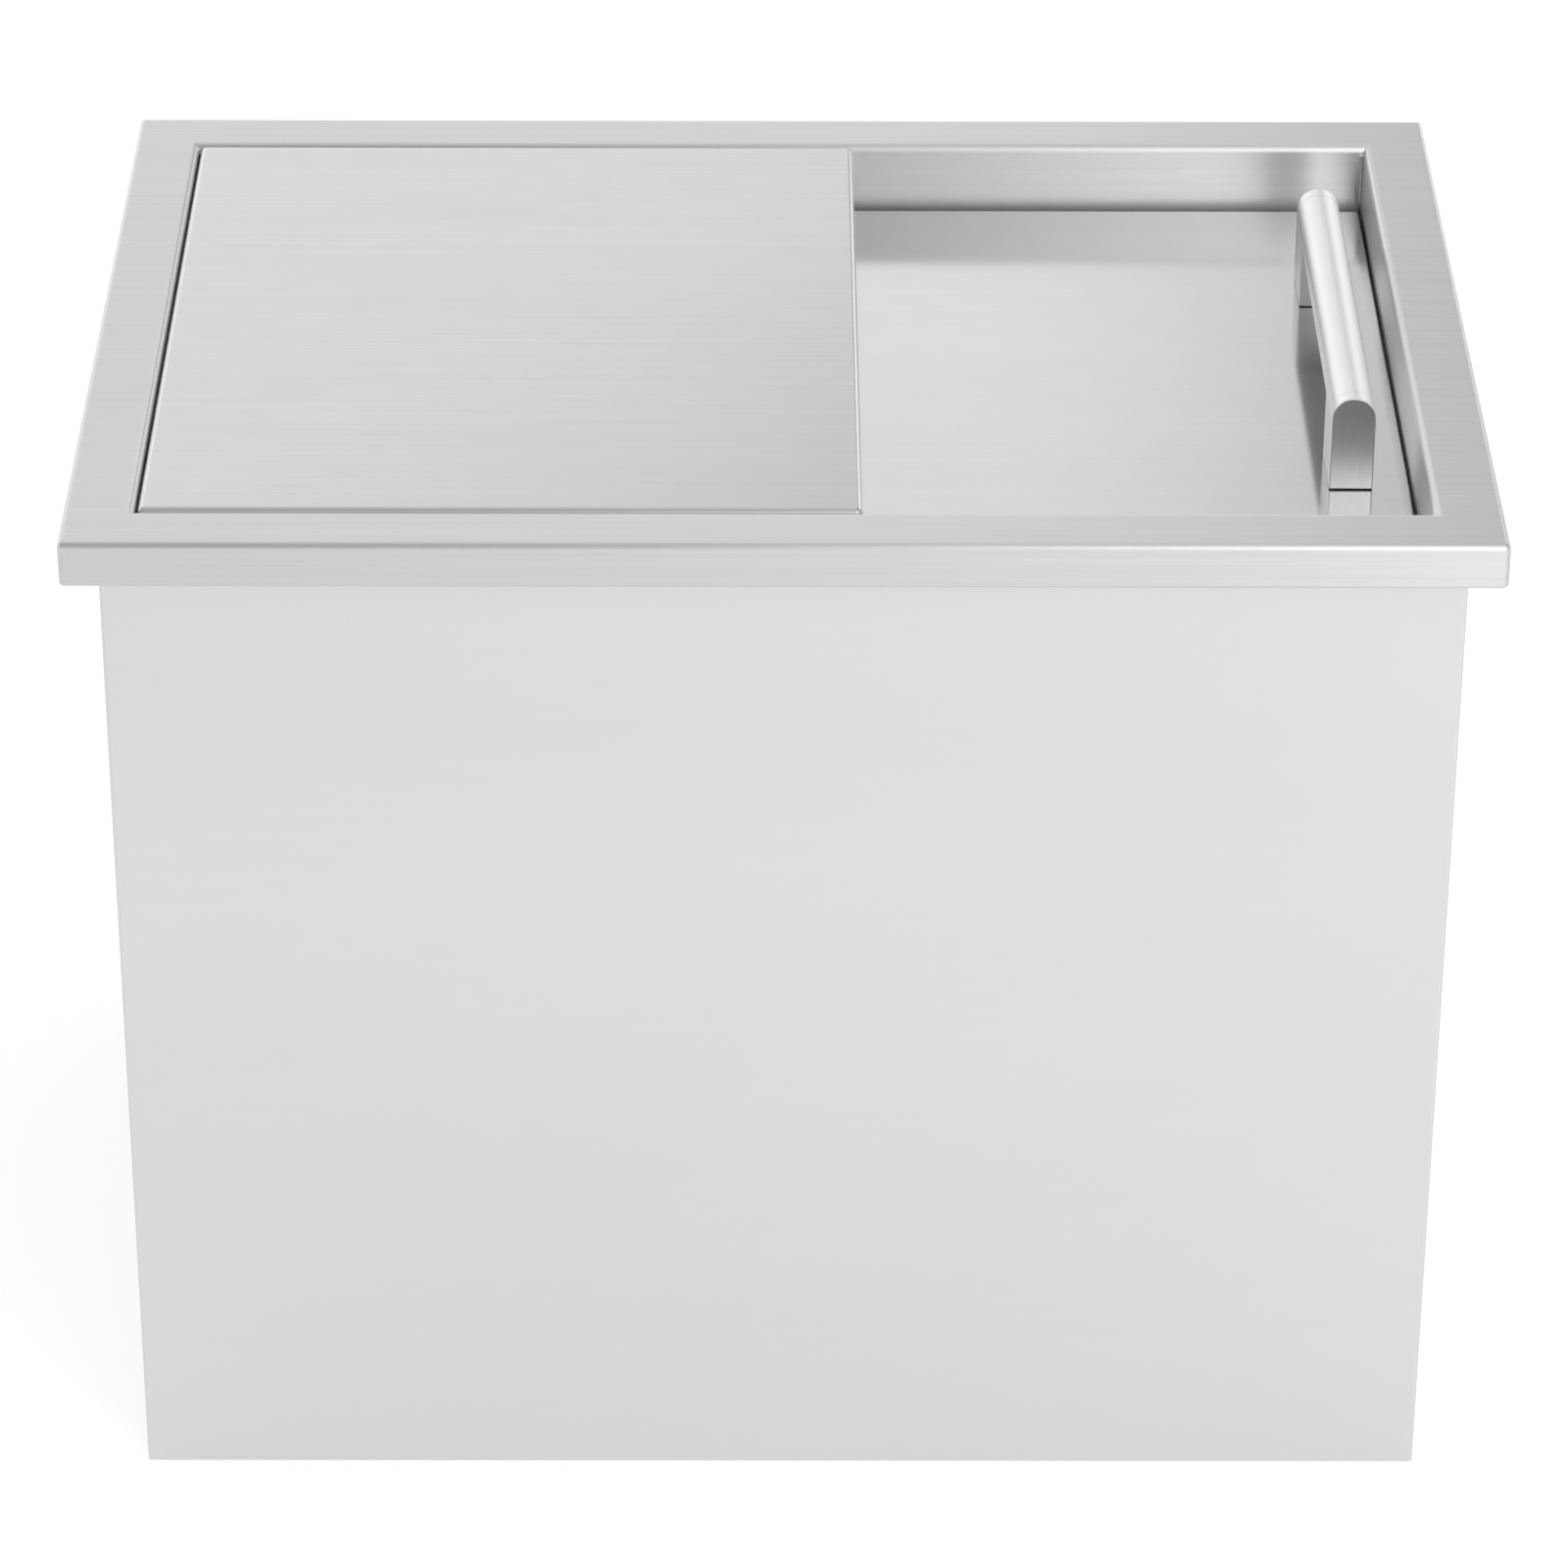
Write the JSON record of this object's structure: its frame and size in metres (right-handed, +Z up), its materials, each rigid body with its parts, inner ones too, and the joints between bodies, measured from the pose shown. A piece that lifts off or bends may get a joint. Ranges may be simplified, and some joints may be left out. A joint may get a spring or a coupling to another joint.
{
  "type": "drop-in ice bin",
  "caption": "Insulated stainless drop-in ice bin with a wide counter rim, a flush lift-off cover and a recessed lid with a bar handle that slides under it.",
  "frame": {"origin": "centre of the base, on the surface that the bin stands on", "axes": "+X along the width towards the lid's handle, +Y from the front to the back, +Z up"},
  "size_m": [0.686, 0.481, 0.56],
  "materials": {
    "brushed_stainless": "fine straight brushed grain along the width",
    "matte_stainless": "matte mill finish, very even",
    "tub_stainless": "soft satin",
    "handle_stainless": "satin with a fine grain",
    "fastener_steel": "plain turned",
    "drain_steel": "turned and polished",
    "galvanised_sheet": "dull zinc spangle",
    "drain_plastic": "moulded, slightly glossy",
    "black_rubber": "matte moulded rubber",
    "white_nylon": "machined nylon",
    "rigid_foam": "rigid insulating foam"
  },
  "bodies": {
    "cabinet": {"rim_frame": "brushed_stainless", "outer_shell": "matte_stainless", "back_panel": "matte_stainless", "back_rivets": "fastener_steel", "base_pan": "galvanised_sheet", "liner_tub": "tub_stainless", "foam_insulation": "rigid_foam", "cover_bar_front": "tub_stainless", "cover_bar_rear": "tub_stainless", "cover_bar_left": "tub_stainless", "cover_pads": "black_rubber", "drain_body": "drain_steel", "drain_gasket": "black_rubber", "drain_washer": "drain_plastic", "drain_nut": "drain_plastic", "drain_tailpiece": "drain_plastic", "drain_strainer": "drain_steel"},
    "sliding_lid": {"lid_top_pan": "brushed_stainless", "lid_bottom_plate": "tub_stainless", "lid_foam_core": "rigid_foam", "lid_glide_front": "white_nylon", "lid_glide_rear": "white_nylon", "lid_bumpers": "black_rubber", "handle_bar": "handle_stainless", "handle_cap_front": "handle_stainless", "handle_cap_rear": "handle_stainless", "handle_leg_front": "handle_stainless", "handle_leg_rear": "handle_stainless", "handle_pads": "black_rubber", "handle_screws": "fastener_steel", "handle_washers": "fastener_steel"},
    "fixed_cover": {"cover_top_pan": "brushed_stainless", "cover_bottom_plate": "tub_stainless", "cover_foam_core": "rigid_foam"},
    "drain_stopper": {"drain_plug": "black_rubber", "plug_knob": "drain_steel"}
  },
  "joints": [
    {"name": "lid_slide", "type": "slide", "parent": "cabinet", "child": "sliding_lid", "axis": [-1, 0, 0], "range_m": [0, 0.2295]},
    {"name": "cover_lift", "type": "slide", "parent": "cabinet", "child": "fixed_cover", "axis": [0, 0, 1], "range_m": [0, 0.12]},
    {"name": "stopper_lift", "type": "slide", "parent": "cabinet", "child": "drain_stopper", "axis": [0, 0, 1], "range_m": [0, 0.1]}
  ]
}
